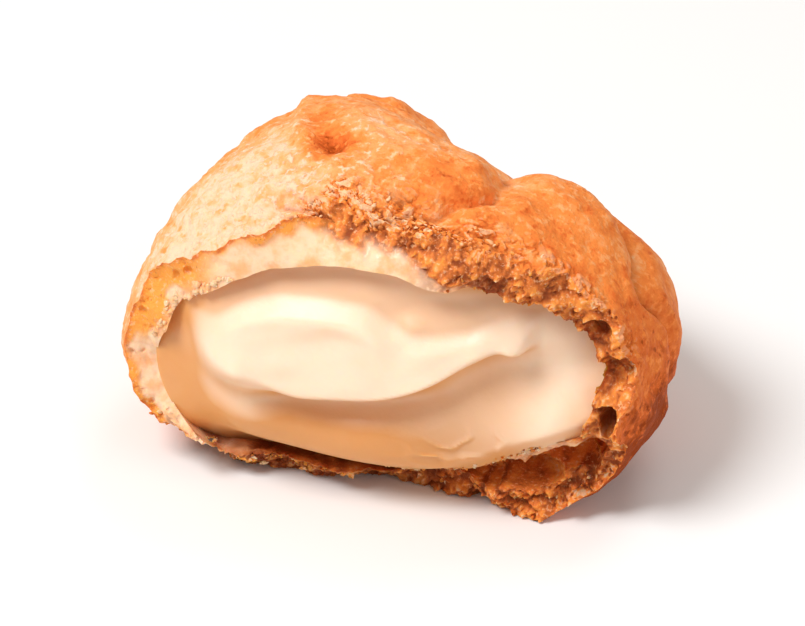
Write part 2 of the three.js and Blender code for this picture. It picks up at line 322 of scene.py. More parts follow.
def tail_groove(d):
    return bell(line_distance(d, directions(TAIL_GROOVE)) / TAIL_GROOVE_WIDTH)


def dent_distance(d):
    """Distance in mm along the shell to the dent in which the tail's groove ends."""
    return np.linalg.norm(d - direction(*TAIL_DENT), axis=1) * MEAN_RADIUS


def tail_rise(d):
    """How far the piping tail stands out of the crown, less its groove and its dent."""
    ridge = TAIL_HEIGHT * bell(line_distance(d, directions(TAIL_RIDGE)) / TAIL_WIDTH)
    dent = TAIL_DENT_DEPTH * bell(dent_distance(d) / TAIL_DENT_WIDTH)
    return ridge - TAIL_GROOVE_DEPTH * tail_groove(d) - dent


def outer_radius(d):
    """Radius of the crust as the solids have it."""
    return body_radius(d) - crack_depth(d) + tail_rise(d) + relief(UNEVENNESS, d * MEAN_RADIUS)


def hollow_radius(d):
    return body_radius(d) - WALL


def floor_height(x, y):
    """Height of the hollow's floor, which swells up to the thick base at the front right."""
    return WALL_BASE + BASE_SWELL * ramp(2.0, 28.0, x) * ramp(11.0, -11.0, y)


def lip_y(x, z):
    """y of the torn edge without its roughness, above the base. It runs back at the upper right."""
    left = mix(TORN_LIP_Y, TORN_LEFT_Y, ramp(-15.0, -25.0, x))
    return left + TORN_LIP_TURN * ramp(6.0, 25.0, x) * ramp(10.0, 19.0, z)


def tear_y(x, z):
    """y of the tear across the shell, at a place in X and Z."""
    base = TORN_BASE_Y + LEFT_BASE_BITE * ramp(-14.0, -21.0, x)
    for place, width, depth in BASE_BITES:
        base = base + depth * bell((x - place) / width)
    skin = SKIN_SET_BACK * ramp(PUFF_HEIGHT - 7.0, PUFF_HEIGHT - 2.0, z) * ramp(-14.0, -3.0, x)
    rough = relief(ROUGHNESS, on_plane(x, MEAN_RADIUS, z))
    above_base = z - BASE_RISE * ramp(2.0, 12.0, x)
    return mix(base, lip_y(x, z), ramp(0.0, 6.0, above_base)) + skin + rough


def line_height(line, x):
    """Height at x of a smooth line through places in X and Z."""
    across, up = np.array(line).T
    slope = np.empty(len(line))
    slope[1:-1] = (up[2:] - up[:-2]) / (across[2:] - across[:-2])
    slope[0], slope[-1] = 0.0, 0.0
    i = np.clip(np.searchsorted(across, x) - 1, 0, len(line) - 2)
    run = across[i + 1] - across[i]
    t = np.clip((x - across[i]) / run, 0.0, 1.0)
    bend = t * (1.0 - t) * run * (slope[i] * (1.0 - t) - slope[i + 1] * t)
    return mix(up[i], up[i + 1], t * t * (3.0 - 2.0 * t)) + bend


def swellings(forms, x, z):
    """The sum of soft swellings at places in X and Z."""
    total = 0.0
    for (across, up), (wide, high), rise in forms:
        total = total + rise * bell((x - across) / wide) * bell((z - up) / high)
    return total


def tongue_rise(x, z):
    """How far the tongue stands out of the cream's face, with the fold on it and the hollow under it."""
    lower = line_height(TONGUE_LOWER, x)
    upper = line_height(TONGUE_UPPER, x)
    thin = ramp(2.0, TONGUE_TIP, x)
    top_share = mix(TONGUE_TOP_SHARE, TONGUE_TIP_SHARE, thin)
    lean = mix(1.0, top_share, ramp(0.1, 1.1, (z - lower) / (upper - lower)))
    soft = 2.6 * ramp(-5.0, -14.0, x)
    edges = ramp(-0.6 - soft, 1.6 - 0.5 * thin + soft, z - lower) * ramp(0.7, -1.2 + 0.2 * thin, z - upper)
    body = TONGUE_RISE * (1.0 - 0.5 * thin) * edges * lean
    along = ramp(-15.0, -9.0, x) * ramp(5.0, 2.0, x) + 0.8 * ramp(9.0, 13.0, x)
    above_crest = z - upper + 0.9
    fold = FOLD_RISE * bell(above_crest / np.where(above_crest > 0.0, FOLD_WIDTH, FOLD_SLOPE)) * along
    ends = ramp(-21.5, -12.0, x) * ramp(TONGUE_TIP + 0.8, TONGUE_TIP - 0.8, x)
    hollow = HOLLOW_UNDER_TONGUE * bell((z - lower + 2.2) / (1.7 + thin))
    hollow = hollow * ramp(-15.0, -6.0, x) * (1.0 - 0.75 * thin)
    forms = swellings(TONGUE_FORMS, x, z)
    return (body + fold + forms) * ends - hollow * ramp(TONGUE_TIP + 3.0, TONGUE_TIP - 5.0, x)


def cream_y(x, z):
    """y of the cream's face. Its rim turns back to the wall, and its foot to the base."""
    plane = mix(CREAM_FOOT_Y, lip_y(x, z) + CREAM_SET_BACK, ramp(3.0, 20.0, z))
    rim = CREAM_RIM * ramp(0.8, 1.05, np.hypot(x / 25.0, (z - 15.0) / 13.0)) * ramp(-21.0, -12.0, x)
    tuck = FOOT_TUCK * ramp(6.5, 2.5, z) * ramp(14.0, 6.0, x)
    back = CREAM_RIGHT_FOOT * ramp(4.0, 9.0, x) * ramp(2.4, 0.0, z - floor_height(x, TORN_BASE_Y))
    return plane - swellings(CREAM_SWELLS, x, z) - tongue_rise(x, z) + rim + tuck + back


# ---- Fine forms of the crust -----------------------------------------------


def crumbled(p):
    """How broken up the crust is at a point: most just behind the torn lip at the middle and right."""
    x, y, z = p.T
    behind = y - tear_y(x, z) + 1.6 * waves(p, 3.2) + 0.8 * waves(p + 7.0, 1.6)
    reach = CRUMBLED_REACH + CRUMBLED_MIDDLE * bell((x - 2.0) / 7.0)
    across = ramp(-13.0, -6.0, x) * ramp(10.0, 17.0, z) * (1.0 - 0.35 * ramp(8.0, 15.0, x))
    return (across * ramp(1.1, 0.0, behind / reach)) ** 1.7


def wrinkled(d):
    """How finely wrinkled the crust is: most on the crown's left shoulder."""
    return 0.4 + 0.6 * bell(angle_between(d, direction(-135, 50)) / 38.0)


def crumbs(p):
    """Relief of the broken crust between about -1 and 1: soft crumbs, longer across, and gaps."""
    aside = np.stack((waves(p, 2.6), waves(p + 9.0, 2.1), waves(p + 5.0, 1.9)), axis=1)
    stretched = p * (0.5, 1.0, 1.15) + 0.5 * aside
    lumps = np.minimum(np.abs(grain(stretched, 1.05)), 0.4)
    small = np.abs(grain(stretched + 70.0, 0.5, 2))
    return 2.0 * lumps + 1.3 * small - 0.75 + 0.45 * grain(p + 30.0, 2.4)


def fine_relief(d, p):
    """Relief of the crust too fine for the solids, in mm along the radius."""
    t, deep = crack_distance(d)
    notch = NOTCH_DEPTH * deep * bell(t / 0.3) * (0.6 + 0.4 * waves(p, 2.2))
    ridges = 1.0 - 2.4 * np.abs(grain(p * (1.0, 0.8, 0.7), 1.7, 3))
    ripples = wrinkled(d) * RIPPLE_RELIEF * ridges
    dimples = -DIMPLE_DEPTH * ramp(0.4, 0.75, grain(p + 40.0, 1.9))
    lumps = LUMP_RELIEF * grain(p + 80.0, 3.2, 2)
    broken = crumbled(p)
    return -notch + (ripples + dimples + lumps) * (1.0 - 0.7 * broken) + CRUMB_RELIEF * crumbs(p) * broken


def porous(x, z):
    """How full of bubbles the torn wall is: most at the right and in the base, least at the top left."""
    right = ramp(4.0, 14.0, x)
    base = ramp(9.0, 3.0, z)
    return np.clip(0.08 + 0.8 * right + 0.75 * base, 0.0, 1.0)


def crumb_pits(x, z):
    """Depth of the small bubbles that the tear opened, at places in X and Z."""
    rng = np.random.RandomState(SEED)
    depth = np.zeros(len(x))
    for count, small, large, shy in PITS:
        angle = rng.uniform(0.0, 2.0 * math.pi, count)
        out = rng.uniform(0.84, 1.0, count)
        across = out * TORN_FACE_HALF_WIDTH * np.cos(angle)
        up = WAIST_HEIGHT + out * TORN_FACE_HALF_HEIGHT * np.sin(angle)
        radii = rng.uniform(small, large, count)
        long = rng.uniform(1.0, 1.7, count)
        turn = rng.uniform(0.0, math.pi, count)
        kept = rng.uniform(0.0, 1.0, count) < porous(across, up) ** shy
        for px, pz, radius, stretch, spin in zip(across[kept], up[kept], radii[kept], long[kept], turn[kept]):
            near = np.hypot(x - px, z - pz) < radius * stretch
            u = ((x[near] - px) * math.cos(spin) + (z[near] - pz) * math.sin(spin)) / stretch
            v = (z[near] - pz) * math.cos(spin) - (x[near] - px) * math.sin(spin)
            pit = np.sqrt(np.maximum(radius ** 2 - u ** 2 - v ** 2, 0.0))
            depth[near] = np.maximum(depth[near], 1.1 * pit)
    return depth


def crags(x, z):
    """Relief of the torn crumb between about -1 and 1: soft lumps, with gaps between them that get painted
    shade.
    """
    p = on_plane(x, 25.0, z)
    lumps = np.minimum(np.abs(grain(p, 1.8)), 0.4)
    small = np.abs(grain(p + 40.0, 0.7, 2))
    return 1.8 * lumps + 1.1 * small - 0.6 + 0.5 * grain(p + 80.0, 2.6)


def membrane(x, z):
    """How much a smooth wet skin covers the torn wall: above the cream, widest at the left."""
    p = np.stack((x, tear_y(x, z), z), axis=1)
    out = p - CENTRE
    depth = (body_radius(unit(out)) - np.linalg.norm(out, axis=1)) / WALL + 0.16 * waves(p, 1.7)
    begins = 0.15 + 0.5 * ramp(-10.0, -2.0, x)
    covered = ramp(begins - 0.1, begins + 0.15, depth) * ramp(20.0, 25.0, z)
    return covered * ramp(-19.0, -14.0, x) * ramp(13.0, 8.0, x)


def torn_face_y(x, z):
    """y of the tear with its crumb."""
    p = on_plane(x, 5.0, z)
    skin = membrane(x, z)
    rough = np.clip(porous(x, z) + ramp(-8.0, -1.0, x) * ramp(22.0, 26.0, z), 0.0, 1.0) * (1.0 - skin)
    rough = rough * (1.0 + 0.7 * ramp(8.0, 5.0, z))
    uneven = relief(ROUGHNESS, on_plane(x, MEAN_RADIUS, z))
    face = tear_y(x, z) - 0.75 * skin * uneven
    fine = (0.16 - 0.12 * skin) * grain(p, 1.0, 3)
    return face + fine - CRAG_RELIEF * crags(x, z) * rough + crumb_pits(x, z) * (1.0 - skin)


# ---- Making meshes ---------------------------------------------------------


def places_of(bm):
    return np.array([v.co for v in bm.verts])


def move_to(bm, places):
    for v, place in zip(bm.verts, places.tolist()):
        v.co = place


def object_of(bm, name, materials=()):
    """A new object at the origin from a bmesh in millimetres."""
    bm.normal_update()
    mesh = bpy.data.meshes.new(name)
    bmesh.ops.scale(bm, vec=(MM, MM, MM), verts=bm.verts)
    bm.to_mesh(mesh)
    bm.free()
    for material in materials:
        mesh.materials.append(material)
    piece = bpy.data.objects.new(name, mesh)
    bpy.context.scene.collection.objects.link(piece)
    return piece


def directions_ball(subdivisions, finer=()):
    """A ball of unit directions, closest where the relief is, and halved where each of finer says."""
    bm = bmesh.new()
    bmesh.ops.create_icosphere(bm, subdivisions=subdivisions, radius=1.0)
    move_to(bm, unit(unit(places_of(bm)) + FINER_TOWARDS))
    for wanted in finer:
        middles = np.array([e.verts[0].co + e.verts[1].co for e in bm.edges])
        edges = [e for e, chosen in zip(bm.edges, wanted(unit(middles))) if chosen]
        bmesh.ops.subdivide_edges(bm, edges=edges, cuts=1, use_grid_fill=True)
        bmesh.ops.triangulate(bm, faces=[f for f in bm.faces if len(f.verts) > 3])
        move_to(bm, unit(places_of(bm)))
    return bm


def ball(name, subdivisions, radius_of, floor_of, materials=(), finer=()):
    """A closed form with a radius for each direction, which goes no lower than its floor."""
    bm = directions_ball(subdivisions, finer)
    d = places_of(bm)
    p = d * radius_of(d)[:, None] + CENTRE
    p[:, 2] = np.maximum(p[:, 2], floor_of(p[:, 0], p[:, 1]))
    move_to(bm, p)
    return object_of(bm, name, materials)


def in_front_of(name, surface_of, cell, materials=()):
    """Everything in front of a surface y = surface_of(x, z), as a block."""
    margin = 5.0
    lift = 1.5
    wide = PUFF_WIDTH + 2 * margin
    high = PUFF_HEIGHT + 2 * margin
    bm = bmesh.new()
    bmesh.ops.create_grid(bm, x_segments=round(wide / cell), y_segments=round(high / cell), size=0.5)
    flat = places_of(bm)
    x = flat[:, 0] * wide
    z = flat[:, 1] * high + high / 2 - margin + lift
    move_to(bm, np.stack((x, surface_of(x, z), z), axis=1))
    front = bmesh.ops.extrude_face_region(bm, geom=bm.faces[:], use_keep_orig=True)
    for v in front["geom"]:
        if isinstance(v, bmesh.types.BMVert):
            v.co.y = -PUFF_DEPTH
    bmesh.ops.recalc_face_normals(bm, faces=bm.faces[:])
    return object_of(bm, name, materials)


def egg(name, centre, radii, materials=()):
    """A small uneven egg of the given radii."""
    bm = bmesh.new()
    bmesh.ops.create_icosphere(bm, subdivisions=4, radius=1.0)
    d = unit(places_of(bm))
    uneven = 1.0 + 0.16 * waves(d + np.array(centre), 0.9) + 0.07 * waves(d - np.array(centre), 0.4)
    move_to(bm, d * uneven[:, None] * radii + centre)
    return object_of(bm, name, materials)


def cut(body, tool):
    """Takes a closed tool out of a closed body. The faces that it leaves keep the tool's material."""
    modifier = body.modifiers.new("cut", "BOOLEAN")
    modifier.operation = "DIFFERENCE"
    modifier.solver = "MANIFOLD"
    modifier.material_mode = "TRANSFER"
    modifier.object = tool
    graph = bpy.context.evaluated_depsgraph_get()
    whole = body.data
    body.data = bpy.data.meshes.new_from_object(body.evaluated_get(graph))
    body.data.name = body.name
    body.modifiers.clear()
    bpy.data.meshes.remove(whole)
    left = tool.data
    bpy.data.objects.remove(tool)
    bpy.data.meshes.remove(left)


def keep_largest(piece):
    """Drops the loose scraps that cutting left."""
    bm = bmesh.new()
    bm.from_mesh(piece.data)
    unseen = set(bm.verts)
    islands = []
    while unseen:
        island = []
        edge_of_search = [unseen.pop()]
        while edge_of_search:
            v = edge_of_search.pop()
            island.append(v)
            for e in v.link_edges:
                other = e.other_vert(v)
                if other in unseen:
                    unseen.remove(other)
                    edge_of_search.append(other)
        islands.append(island)
    islands.sort(key=len)
    for island in islands[:-1]:
        bmesh.ops.delete(bm, geom=island, context="VERTS")
    bmesh.ops.triangulate(bm, faces=[f for f in bm.faces if len(f.verts) > 3])
    bm.to_mesh(piece.data)
    bm.free()


def vertex_places(piece):
    """The places of a piece's vertices, in millimetres."""
    places = np.empty(len(piece.data.vertices) * 3, dtype=np.float32)
    piece.data.vertices.foreach_get("co", places)
    return places.reshape(-1, 3).astype(float) / MM


def mark(piece, name, values):
    """Keeps a number for each vertex, which the piece's finish reads."""
    attribute = piece.data.attributes.new(name, "FLOAT", "POINT")
    attribute.data.foreach_set("value", np.asarray(values, dtype=np.float32))


def smooth(piece, angle):
    piece.data.shade_smooth()
    piece.data.set_sharp_from_angle(angle=math.radians(angle))


# ---- Finishes --------------------------------------------------------------


class Value:
    """A number, colour or vector that varies over a surface. Sums and products of it are Math nodes."""

    def __init__(self, finish, socket):
        self.finish = finish
        self.socket = socket

    def math(self, operation, *others):
        return self.finish.node("ShaderNodeMath", {"operation": operation}, dict(enumerate((self, *others))))

    def __add__(self, other):
        return self.math("ADD", other)

    def __mul__(self, other):
        return self.math("MULTIPLY", other)

    def __sub__(self, other):
        return self.math("SUBTRACT", other)

    def __rsub__(self, other):
        return self.finish.node("ShaderNodeMath", {"operation": "SUBTRACT"}, {0: other, 1: self})

    __radd__ = __add__
    __rmul__ = __mul__

    def ramp(self, start, end):
        """Rises smoothly from 0 where this is start to 1 where it is end."""
        flip = start > end
        low, high = sorted((start, end))
        ends = {"From Min": low, "From Max": high, "To Min": float(flip), "To Max": float(not flip)}
        settings = {"interpolation_type": "SMOOTHSTEP"}
        return self.finish.node("ShaderNodeMapRange", settings, {"Value": self, **ends})


class Finish:
    """A material whose surface is one principled shader."""

    def __init__(self, name):
        self.material = bpy.data.materials.new(name)
        self.material.use_nodes = True
        self.tree = self.material.node_tree
        self.surface = self.tree.nodes["Principled BSDF"]
        self.place = self.node("ShaderNodeVectorMath", {"operation": "SCALE"},
                               {0: self.node("ShaderNodeTexCoord", out="Object"), "Scale": 1.0 / MM})

    def node(self, kind, settings=None, inputs=None, out=0):
        """Any node: its settings first, such as a ramp's stops, and then its sockets."""
        made = self.tree.nodes.new(kind)
        for name, value in (settings or {}).items():
            if name == "stops":
                self.set_stops(made.color_ramp, value)
            else:
                setattr(made, name, value)
        for name, value in (inputs or {}).items():
            self.feed(made.inputs[name], value)
        return Value(self, made.outputs[out])

    def feed(self, socket, value):
        if isinstance(value, Value):
            self.tree.links.new(value.socket, socket)
        else:
            socket.default_value = value

    @staticmethod
    def set_stops(color_ramp, stops):
        while len(color_ramp.elements) < len(stops):
            color_ramp.elements.new(0.5)
        for element, (position, colour) in zip(color_ramp.elements, stops):
            element.position = position
            element.color = (*colour, 1.0)

    def marked(self, name):
        return self.node("ShaderNodeAttribute", {"attribute_name": name}, out="Fac")

    def speckle(self, length, detail=2.0, rough=0.5, shift=0.0):
        """Noise between 0 and 1 with the given length in mm."""
        moved = self.node("ShaderNodeVectorMath", {"operation": "ADD"}, {0: self.place, 1: (shift,) * 3})
        inputs = {"Vector": moved, "Scale": 1.0 / length, "Detail": detail, "Roughness": rough}
        return self.node("ShaderNodeTexNoise", None, inputs)

    def cells(self, length, wander=0.0):
        """Distance from the middles of cells of the given length, whose borders wander by some mm."""
        noisy = self.node("ShaderNodeTexNoise", None, {"Vector": self.place, "Scale": 0.9 / length},
                          out="Color")
        aside = self.node("ShaderNodeVectorMath", {"operation": "MULTIPLY_ADD"},
                          {0: noisy, 1: (2 * wander,) * 3, 2: self.place})
        return self.node("ShaderNodeTexVoronoi", None, {"Vector": aside, "Scale": 1.0 / length},
                         out="Distance")

    def shades(self, value, stops):
        return self.node("ShaderNodeValToRGB", {"stops": stops}, {"Fac": value}, out="Color")

    def mix(self, share, one, other):
        one, other = (c if isinstance(c, Value) else (*c, 1.0) for c in (one, other))
        settings = {"data_type": "RGBA", "clamp_factor": True}
        return self.node("ShaderNodeMix", settings, {0: share, 6: one, 7: other}, out=2)

    def bump(self, height, depth, normal=None):
        """A bump of the given depth in mm, on top of another."""
        inputs = {"Height": height, "Distance": depth * MM, "Strength": 1.0}
        if normal:
            inputs["Normal"] = normal
        return self.node("ShaderNodeBump", None, inputs)

    def set(self, **sockets):
        for name, value in sockets.items():
            self.feed(self.surface.inputs[name.replace("_", " ")], value)
        return self.material


LIGHT_CRUST = (0.95, 0.60, 0.40)
PALE_CRUST = (0.93, 0.41, 0.16)
GOLDEN_CRUST = (0.88, 0.26, 0.055)
BROWN_CRUST = (0.70, 0.14, 0.025)
DARK_CRUST = (0.30, 0.045, 0.002)
PALE_CRUMB = (0.93, 0.60, 0.36)
ORANGE_CRUMB = (0.92, 0.32, 0.055)
MOIST_CRUMB = (0.93, 0.36, 0.06)
BAKED_CRUMB = (0.72, 0.19, 0.035)
BROWN_CRUMB = (0.32, 0.065, 0.010)
# The colour of painted shade on the torn crumb.
CRUMB_IN_SHADE = (0.22, 0.038, 0.005)
PEACH_MEMBRANE = (0.92, 0.44, 0.20)
WET_MEMBRANE = (0.96, 0.64, 0.42)
CREAM = (0.94, 0.72, 0.54)
# The cream's colour under painted shade.
SHADED_CREAM = (0.71, 0.317, 0.096)

# Shades of the skin from the palest to the darkest, and of crumb from its gaps to its tips, which paints
# shade in the gaps and light on the tips. The moist crumb goes from the skin to the hollow.
CRUST_SHADES = [(0.05, LIGHT_CRUST), (0.28, PALE_CRUST), (0.52, GOLDEN_CRUST), (0.78, BROWN_CRUST),
                (1.0, DARK_CRUST)]
BROKEN_SHADES = [(0.26, BROWN_CRUMB), (0.42, BAKED_CRUMB), (0.58, ORANGE_CRUMB), (0.76, PALE_CRUMB)]
BAKED_SHADES = [(0.28, BROWN_CRUMB), (0.5, BAKED_CRUMB), (0.74, ORANGE_CRUMB), (1.0, PALE_CRUMB)]
MOIST_SHADES = [(0.0, BAKED_CRUMB), (0.12, MOIST_CRUMB), (0.65, MOIST_CRUMB), (1.0, PEACH_MEMBRANE)]


def crust_finish():
    """Baked choux skin: golden, finely crinkled on the left shoulder, which has painted light to make it
    pale, and browner low down, partly painted shade.
    """
    f = Finish("baked_crust")
    # The bake mark holds the baking and also painted light and shade: pale on the lit left shoulder, dark to
    # the right and low down.
    bake = f.marked("bake")
    broken = f.marked("broken")
    curl = f.marked("curl")
    recess = f.marked("recess")
    wrinkle = f.marked("wrinkle")
    blotch = f.speckle(6.0, 3.0)
    mottle = f.speckle(2.2, 4.0, 0.6, shift=30.0)
    fleck = f.speckle(0.9, 4.0, 0.65, shift=60.0)
    crinkle = f.speckle(0.9, 3.0, 0.6, shift=120.0).ramp(0.5, 0.66)
    spots = f.speckle(1.2, 2.0, shift=200.0).ramp(0.58, 0.7)
    tone = bake + (blotch - 0.5) * 0.5 + (mottle - 0.5) * (wrinkle * 0.6 + 0.3) + (fleck - 0.5) * 0.42
    tone = tone - crinkle * (wrinkle * 0.3 + 0.06) + spots * 0.16
    # Painted shade and light that follow the crumbs: darker in their gaps, paler at their tips.
    crumbly = f.shades(curl + (fleck - 0.5) * 0.4, BROKEN_SHADES)
    colour = f.mix(broken.ramp(0.05, 1.0) * 0.9, f.shades(tone, CRUST_SHADES), crumbly)
    # Painted shade: brown in the gaps between crumbs and at the bottoms of the cracks.
    colour = f.mix(recess * 0.9, colour, BROWN_CRUMB)
    pores = f.cells(1.3, wander=0.3).ramp(0.03, 0.14)
    fine = f.speckle(0.42, 3.0, 0.65, shift=90.0)
    normal = f.bump(mottle, 0.2)
    normal = f.bump(crinkle * wrinkle, 0.10, normal)
    normal = f.bump(pores, 0.05, normal)
    normal = f.bump(fine, 0.12, normal)
    rough = 0.55 + (mottle - 0.5) * 0.3 + broken * 0.2
    return f.set(Base_Color=colour, Roughness=rough, Normal=normal, Specular_IOR_Level=0.06,
                 Subsurface_Weight=0.12, Subsurface_Radius=(1.0, 0.35, 0.12), Subsurface_Scale=0.9 * MM)


def crumb_finish():
    """The torn wall: moist orange at the left, baked and crumbly at the right, a pale wet membrane inside."""
    f = Finish("torn_crumb")
    depth = f.marked("depth")
    wet = f.marked("wet")
    dark = f.marked("dark")
    brown = f.marked("brown")
    curl = f.marked("curl")
    mottle = f.speckle(1.3, 3.0, 0.6)
    fleck = f.speckle(0.45, 2.0, 0.6, shift=60.0)
    specks = f.cells(0.9, wander=0.4).ramp(0.22, 0.08) * mottle.ramp(0.42, 0.56)
    tone = depth + (mottle - 0.5) * 0.5
    moist = f.mix(specks * 0.5, f.shades(tone, MOIST_SHADES), BROWN_CRUMB)
    # Painted shade and light that follow the crumbs: the baked crumb darker in its gaps, paler at its tips.
    colour = f.mix(brown, moist, f.shades(curl + (fleck - 0.5) * 0.4, BAKED_SHADES))
    glints = fleck.ramp(0.56, 0.68)
    colour = f.mix(glints * 0.45, colour, PALE_CRUMB)
    membrane = f.mix(f.speckle(2.0, 3.0, 0.55, shift=150.0).ramp(0.3, 0.66), PEACH_MEMBRANE, WET_MEMBRANE)
    colour = f.mix(wet, colour, membrane)
    # Painted shade: deep brown in the holes and gaps, and low on the base under the cream.
    colour = f.mix(dark, colour, CRUMB_IN_SHADE)
    fine = f.speckle(0.3, 3.0, 0.7, shift=90.0)
    normal = f.bump(fine * (1.0 - wet * 0.8), 0.16, f.bump(mottle * (1.0 - wet * 0.7), 0.3))
    rough = 0.5 - wet * 0.22 + (mottle - 0.5) * 0.2
    return f.set(Base_Color=colour, Roughness=rough, Normal=normal, Coat_Weight=wet * 0.2,
                 Specular_IOR_Level=0.2, Subsurface_Weight=0.35, Subsurface_Radius=(1.0, 0.4, 0.12),
                 Subsurface_Scale=1.0 * MM)


def cream_finish():
    """Smooth moist custard cream, with painted shade: a deeper, warmer tan where shade falls on it."""
    f = Finish("custard_cream")
    warm = f.marked("warm")
    cloud = f.speckle(6.0, 2.0)
    # Painted shade: a deeper, warmer tan where the shade falls.
    colour = f.mix(warm + (cloud - 0.5) * 0.25, CREAM, SHADED_CREAM)
    streaks = f.speckle(2.2, 3.0, 0.55, shift=20.0)
    fine = f.speckle(0.45, 2.0, 0.5, shift=50.0)
    normal = f.bump(fine, 0.012, f.bump(streaks, 0.10))
    rough = 0.5 + (streaks - 0.5) * 0.2
    return f.set(Base_Color=colour, Roughness=rough, Normal=normal, Coat_Weight=0.14, Coat_Roughness=0.22,
                 Subsurface_Weight=0.6, Subsurface_Radius=(0.9, 0.6, 0.35), Subsurface_Scale=1.1 * MM)


# ---- The choux shell -------------------------------------------------------


def near_the_tear(d):
    """The torn edge, and the crust just behind it."""
    return (d[:, 1] > -0.64) & (d[:, 1] < -0.1) & (d[:, 2] > -0.3)


def in_the_crumbs(d):
    p = d * body_radius(d)[:, None] + CENTRE
    behind = p[:, 1] - tear_y(p[:, 0], p[:, 2])
    return (crumbled(p) > 0.15) & (behind > -1.0)


def skin_radius(d):
    smooth_radius = outer_radius(d)
    return smooth_radius + fine_relief(d, d * smooth_radius[:, None] + CENTRE)


def broken_floor(x, y):
    """Height of the hollow's floor, which is crumbly where it shows in front of the cream."""
    p = np.stack((x, y, np.full(len(x), 0.0)), axis=1)
    return floor_height(x, y) + 0.5 * (crumbs(p) + 0.5) * ramp(-6.0, -9.0, y) * ramp(8.0, 0.0, x)


def tray(x, y):
    """Height of the flat tray that the puff was baked on."""
    return np.zeros(len(x))


def choux_shell(crust, crumb):
    shell = ball("choux_shell_baked", SKIN_SUBDIVISIONS, skin_radius, tray, [crust],
                 (near_the_tear, in_the_crumbs))
    hollow = ball("hollow", HOLLOW_SUBDIVISIONS, hollow_radius, broken_floor, [crumb])
    cut(shell, hollow)
    cut(shell, in_front_of("tear", torn_face_y, TORN_CELL, [crumb]))
    for number, (centre, radii) in enumerate(BUBBLES):
        cut(shell, egg(f"bubble_{number}", centre, radii, [crumb]))
    keep_largest(shell)
    mark_shell(shell)
    smooth(shell, 50)
    return shell


def baked_and_shaded(p, d, behind, groove):
    """How dark the crust is, from 0, pale, to 1, dark: partly its baking, and partly painted light and shade,
    paler on the lit left and darker to the right and low down.
    """
    x, _, z = p.T
    bake = 0.37 + 0.14 * ramp(0.1, 0.9, d[:, 0]) + 0.2 * ramp(0.2, -0.4, d[:, 2])
    bake = bake + 0.12 * ramp(-0.2, 0.8, d[:, 1]) - 0.1 * groove
    for place, spread, amount in BAKED_AND_SHADED_PLACES:
        bake = bake + amount * bell(angle_between(d, direction(*place)) / spread)
    bake = bake + 0.25 * tail_groove(d) + 0.48 * bell(dent_distance(d) / 3.2)
    return bake + 0.12 * ramp(13.0, 3.0, behind) * ramp(-13.0, -3.0, x) * ramp(14.0, 20.0, z)


def curled(p, below, behind):
    """How high a place stands among the crumbs, from 0 in a gap to 1 at a tip. The finishes paint shade in
    the gaps and light on the tips from it.
    """
    x, _, z = p.T
    on_crust = crumbs(p) * (1.0 + 0.9 * ramp(4.0, 1.0, behind)) + 0.45 * ramp(6.0, -5.0, x)
    on_skin = (np.abs(below) < 1.2) & (behind > 0.6)
    return 0.5 + 0.5 * np.where(on_skin, on_crust, crags(x, z))


def over_the_pockets(p, behind):
    """The pale roof of the pockets under the cream, at the right."""
    x, y, z = p.T
    roof = ramp(1.6, 0.8, floor_height(x, y) - z) * ramp(11.5, 9.5, z)
    return 0.6 * roof * ramp(4.0, 8.0, x) * ramp(2.0, 0.5, behind)


def wet_wall(p, thick, behind):
    """Where the torn wall is pale and wet: its membrane, its inner edge at the left, and the roof."""
    x, _, z = p.T
    inner_edge = ramp(0.75, 0.95, thick) * ramp(-12.0, -17.0, x)
    low_left = ramp(0.1, 0.35, thick) * ramp(-19.0, -22.0, x) * ramp(16.5, 14.0, z) * ramp(4.0, 6.5, z)
    return np.max([membrane(x, z), inner_edge, low_left, over_the_pockets(p, behind)], axis=0)


def baked_wall(x, z):
    """Where the torn wall is baked and crumbly: at the right, low down, and behind the lip."""
    behind_the_lip = ramp(-9.0, -2.0, x) * ramp(22.0, 26.0, z)
    return np.clip(ramp(6.0, 14.0, x) + ramp(6.0, 2.0, z) + behind_the_lip, 0.0, 1.0)


def painted_wall_shade(p, thick, behind, curl):
    """Painted shade on the torn wall: deep brown in its holes and gaps, and low on the base under the cream.
    """
    x, _, z = p.T
    pits = 0.5 * ramp(0.4, 1.3, behind) * baked_wall(x, z)
    holes = 0.25 * ramp(0.8, 4.5, behind) * ramp(-2.0, 6.0, x)
    holes = holes + 0.75 * ramp(0.8, 2.2, behind) * ramp(10.0, 13.0, z)
    low = 0.95 * ramp(5.0, 3.0, z) * ramp(11.0, 5.0, x) * (0.5 + 0.5 * ramp(0.8, 0.35, curl))
    gaps_low = 0.7 * ramp(0.5, 0.2, curl) * ramp(9.0, 5.0, z)
    inner = 0.6 * ramp(0.3, 0.7, thick) * ramp(3.0, 10.0, x) * ramp(8.0, 11.0, z) * ramp(0.8, 0.4, curl)
    in_pocket = ramp(0.8, 2.0, behind) * ramp(4.0, 8.0, x) * ramp(11.5, 9.5, z)
    shade = np.max([holes + low, pits, gaps_low, inner], axis=0)
    return np.clip(shade * (1.0 - over_the_pockets(p, behind)) * (1.0 - 0.8 * in_pocket), 0.0, 1.0)


